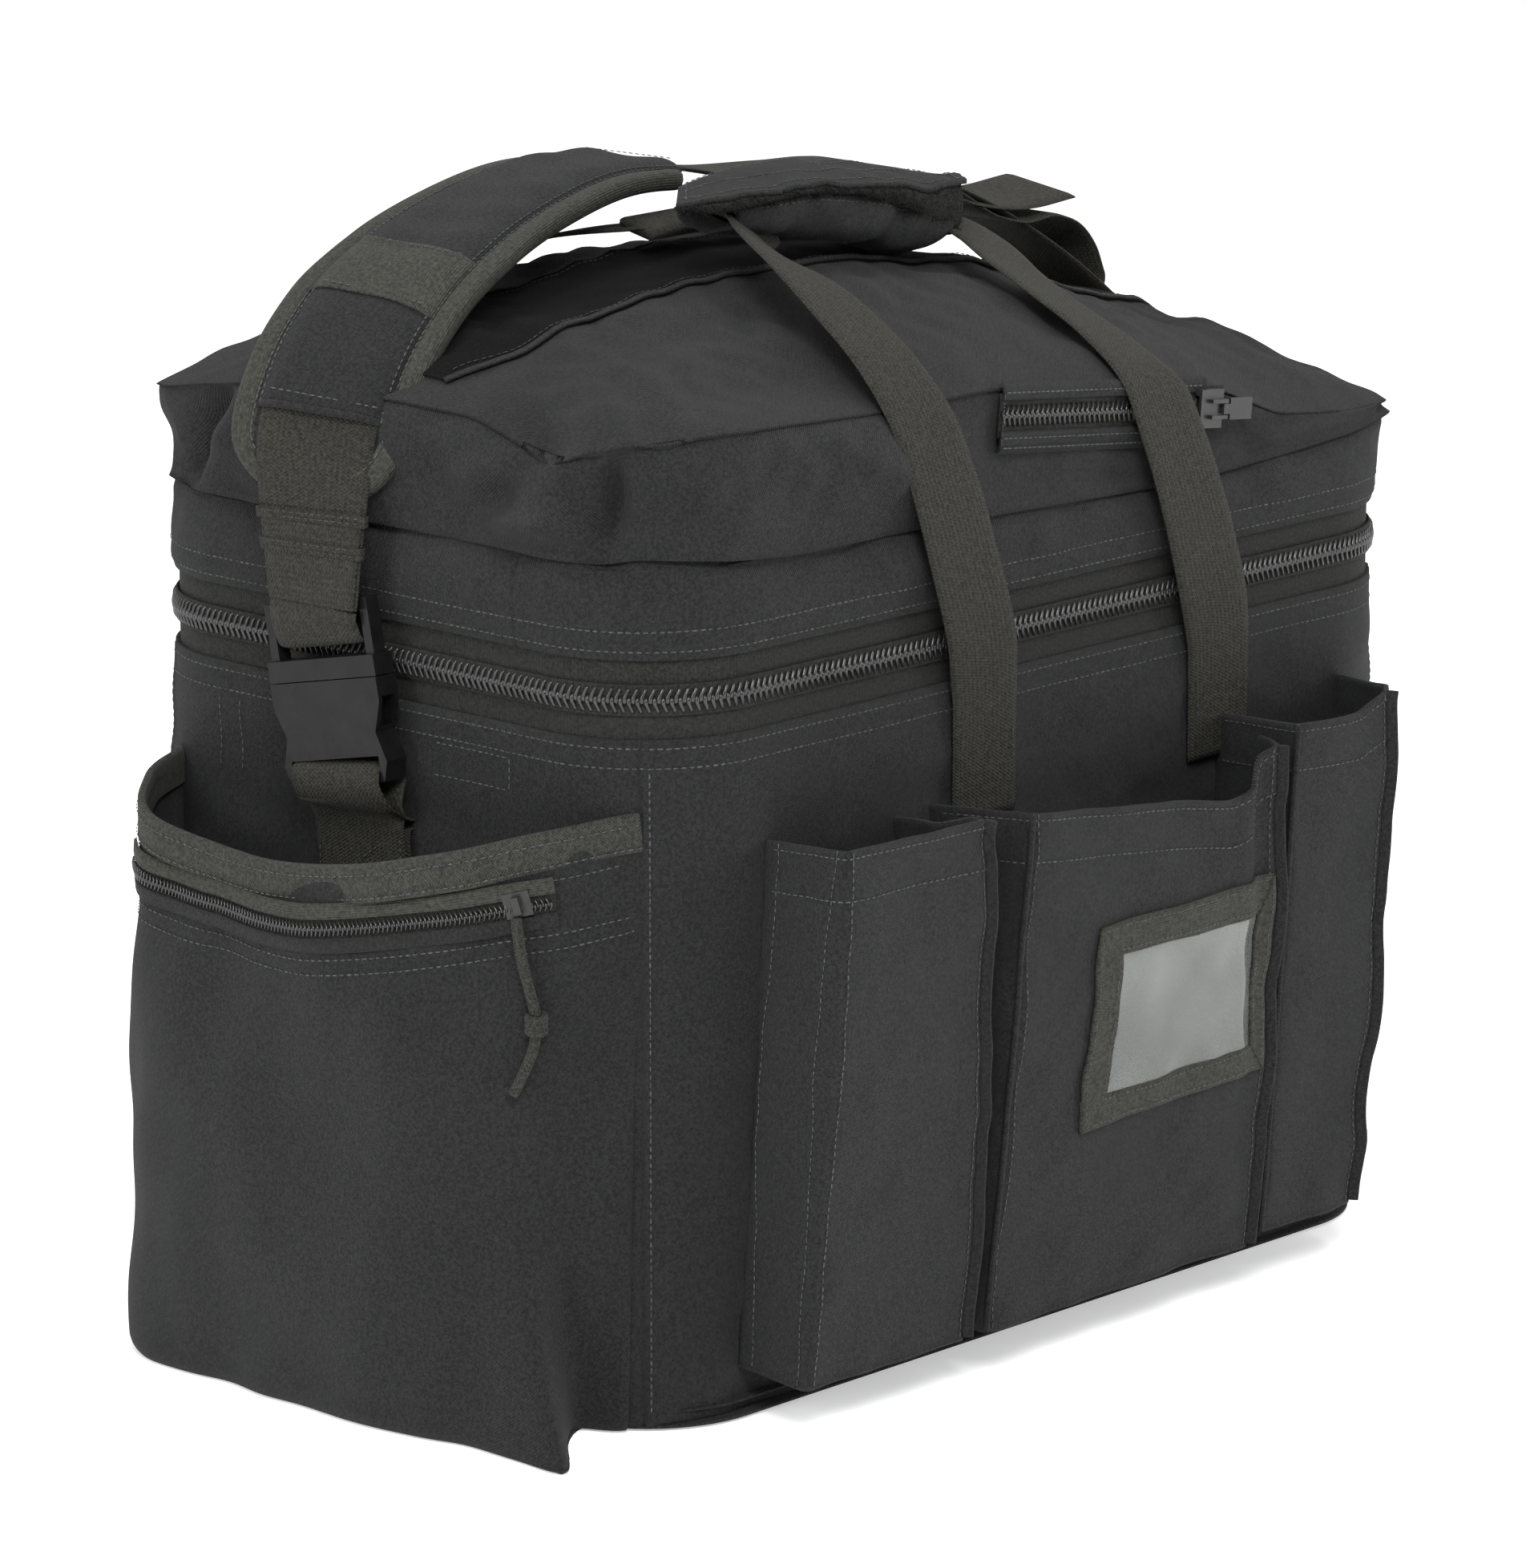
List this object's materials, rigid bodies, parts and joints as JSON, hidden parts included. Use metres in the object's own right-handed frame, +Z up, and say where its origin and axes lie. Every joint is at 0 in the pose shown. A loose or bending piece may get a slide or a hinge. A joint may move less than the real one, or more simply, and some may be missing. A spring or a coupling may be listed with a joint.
{
  "type": "flight bag",
  "caption": "Soft rectangular duty bag with a zipped domed lid, padded wrap-joined handles, clip-on shoulder strap, bellows front pockets and a bulging end pocket.",
  "frame": {"origin": "middle of the base, on the surface the bag stands on", "axes": "+X along the bag's length away from the end pocket, -Y towards the front pockets, +Z up"},
  "size_m": [0.5615, 0.3671, 0.4755],
  "materials": {
    "fabric_body": "padded plain-weave nylon, matte",
    "board": "stiff base board, matte",
    "zip_tape": "woven tape",
    "zip_coil": "moulded coil, semi-gloss",
    "loop_panel": "soft loop pile",
    "wrap_flap": "smooth laminated fabric with a hook strip beneath",
    "binding": "grosgrain tape",
    "clear_vinyl": "clear flexible sheet",
    "webbing": "ribbed webbing",
    "foam": "closed-cell foam",
    "buckle": "moulded, semi-gloss",
    "slider_metal": "black coated, worn at the edges",
    "pull_cord": "braided cord"
  },
  "bodies": {
    "bag": {"bottom_panel": "fabric_body", "base_board": "board", "front_panel": "fabric_body", "rear_panel": "fabric_body", "left_end_panel": "fabric_body", "right_end_panel": "fabric_body", "zip_tape_lower": "zip_tape", "zip_coil_lower": "zip_coil", "hinge_strip_lower": "fabric_body", "pocket_left_face": "fabric_body", "pocket_left_gusset": "fabric_body", "pocket_centre_face": "fabric_body", "pocket_centre_gusset": "fabric_body", "pocket_right_face": "fabric_body", "pocket_right_gusset": "fabric_body", "id_window_frame": "binding", "id_window_clear": "clear_vinyl", "end_pocket_shell": "fabric_body", "end_pocket_binding": "binding", "end_zip_tape": "zip_tape", "end_zip_coil": "zip_coil", "front_handle_anchors": "webbing", "rear_handle_anchors": "webbing", "strap_tab_left": "webbing", "strap_tab_right": "webbing", "buckle_female_left": "buckle", "buckle_female_right": "buckle"},
    "lid": {"zip_tape_upper": "zip_tape", "zip_coil_upper": "zip_coil", "hinge_strip_upper": "fabric_body", "lid_band": "fabric_body", "lid_floor_panel": "fabric_body", "lid_gusset": "fabric_body", "lid_top_panel": "fabric_body", "lid_loop_panel": "loop_panel", "lid_zip_tape": "zip_tape", "lid_zip_coil": "zip_coil"},
    "front_handle": {"front_handle": "webbing", "handle_wrap": "fabric_body"},
    "wrap_flap": {"wrap_flap": "wrap_flap"},
    "rear_handle": {"rear_handle": "webbing"},
    "shoulder_strap": {"strap_webbing": "webbing", "pad_foam": "foam", "pad_cover": "fabric_body", "pad_patch": "binding", "buckle_male_left": "buckle", "buckle_male_right": "buckle"},
    "prong_left_front": {"buckle_prong_left_front": "buckle"},
    "prong_left_rear": {"buckle_prong_left_rear": "buckle"},
    "prong_right_front": {"buckle_prong_right_front": "buckle"},
    "prong_right_rear": {"buckle_prong_right_rear": "buckle"},
    "main_slider_front": {"main_slider_front": "slider_metal"},
    "main_slider_rear": {"main_slider_rear": "slider_metal"},
    "main_pull_front": {"main_pull_front": "slider_metal"},
    "main_pull_rear": {"main_pull_rear": "slider_metal"},
    "lid_slider": {"lid_slider": "slider_metal"},
    "lid_pull": {"lid_pull": "slider_metal"},
    "end_slider": {"end_slider": "slider_metal", "end_pull_cord": "pull_cord", "end_pull_knot": "pull_cord"}
  },
  "joints": [
    {"name": "lid_hinge", "type": "hinge", "parent": "bag", "child": "lid", "pos_m": [0, 0.1545, 0.3], "axis": [-1, 0, 0], "range_deg": [0, 90]},
    {"name": "front_handle_fold", "type": "hinge", "parent": "bag", "child": "front_handle", "pos_m": [0.004, -0.157, 0.2845], "axis": [1, 0, 0], "range_deg": [0, 126]},
    {"name": "rear_handle_fold", "type": "hinge", "parent": "bag", "child": "rear_handle", "pos_m": [0.004, 0.157, 0.2845], "axis": [-1, 0, 0], "range_deg": [0, 126]},
    {"name": "strap_lift", "type": "slide", "parent": "bag", "child": "shoulder_strap", "axis": [0, 0.2079, 0.9781], "range_m": [0, 0.48]},
    {"name": "wrap_flap_hinge", "type": "hinge", "parent": "front_handle", "child": "wrap_flap", "pos_m": [0.004, -0.01, 0.47375], "axis": [-1, 0, 0], "range_deg": [0, 70]},
    {"name": "main_slider_front_slide", "type": "slide", "parent": "bag", "child": "main_slider_front", "axis": [0, -1, 0], "range_m": [0, 0.13]},
    {"name": "main_slider_rear_slide", "type": "slide", "parent": "bag", "child": "main_slider_rear", "axis": [0, 1, 0], "range_m": [0, 0.014]},
    {"name": "main_pull_front_hinge", "type": "hinge", "parent": "main_slider_front", "child": "main_pull_front", "pos_m": [0.2445, 0.056, 0.3028], "axis": [0, -1, 0], "range_deg": [0, 110]},
    {"name": "main_pull_rear_hinge", "type": "hinge", "parent": "main_slider_rear", "child": "main_pull_rear", "pos_m": [0.2445, 0.071, 0.3028], "axis": [0, -1, 0], "range_deg": [0, 110]},
    {"name": "lid_slider_slide", "type": "slide", "parent": "lid", "child": "lid_slider", "axis": [-0.9936, 0, 0.1132], "range_m": [0, 0.098]},
    {"name": "lid_pull_hinge", "type": "hinge", "parent": "lid_slider", "child": "lid_pull", "pos_m": [0.09964, -0.1557, 0.37277], "axis": [-0.1132, 0, -0.9936], "range_deg": [0, 80]},
    {"name": "end_slider_slide", "type": "slide", "parent": "bag", "child": "end_slider", "axis": [-0.5172, 0.8158, -0.2586], "range_m": [0, 0.034]},
    {"name": "prong_left_front_flex", "type": "hinge", "parent": "shoulder_strap", "child": "prong_left_front", "pos_m": [-0.253, -0.00406, 0.29361], "axis": [1, 0, 0], "range_deg": [0, 6], "stiffness_Nm_per_rad": 0.4},
    {"name": "prong_left_rear_flex", "type": "hinge", "parent": "shoulder_strap", "child": "prong_left_rear", "pos_m": [-0.253, 0.02528, 0.28738], "axis": [-1, 0, 0], "range_deg": [0, 6], "stiffness_Nm_per_rad": 0.4},
    {"name": "prong_right_front_flex", "type": "hinge", "parent": "shoulder_strap", "child": "prong_right_front", "pos_m": [0.253, -0.00406, 0.29361], "axis": [1, 0, 0], "range_deg": [0, 6], "stiffness_Nm_per_rad": 0.4},
    {"name": "prong_right_rear_flex", "type": "hinge", "parent": "shoulder_strap", "child": "prong_right_rear", "pos_m": [0.253, 0.02528, 0.28738], "axis": [-1, 0, 0], "range_deg": [0, 6], "stiffness_Nm_per_rad": 0.4}
  ],
  "couplings": [
    {"joint": "front_handle_fold", "follows": "lid_hinge", "ratio": 1.4},
    {"joint": "rear_handle_fold", "follows": "lid_hinge", "ratio": 1.4},
    {"joint": "strap_lift", "follows": "lid_hinge", "m_per_rad": 0.3}
  ]
}
